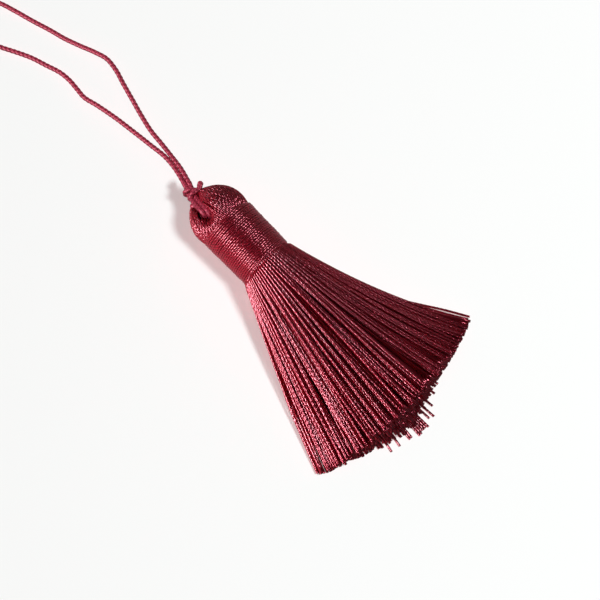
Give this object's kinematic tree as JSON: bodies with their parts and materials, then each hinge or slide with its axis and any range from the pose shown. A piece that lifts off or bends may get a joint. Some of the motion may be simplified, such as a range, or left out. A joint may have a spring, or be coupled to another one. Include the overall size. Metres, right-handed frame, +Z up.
{
  "type": "yarn tassel with hanging loop",
  "caption": "Silky twisted-yarn tassel lying fanned out on its side, with a cleft head, a thread-wound neck and a thin braided hanging loop knotted above the head.",
  "frame": {"origin": "on the surface the tassel lies on, under the middle of its box without the cord and knot", "axes": "+X along the tassel from its head to its cut ends, +Z up"},
  "size_m": [0.1637, 0.0546, 0.0156],
  "materials": {
    "tassel_yarn": "lustrous two-ply twisted viscose yarn, wine red",
    "binding_thread": "the same lustrous yarn wound turn beside turn, wine red",
    "braided_cord": "fine braided cord, satin, lighter wine red"
  },
  "bodies": {
    "root": {"tassel_yarn": "tassel_yarn", "neck_binding": "binding_thread", "loop_knot": "braided_cord", "hanging_loop": "braided_cord"}
  },
  "joints": []
}
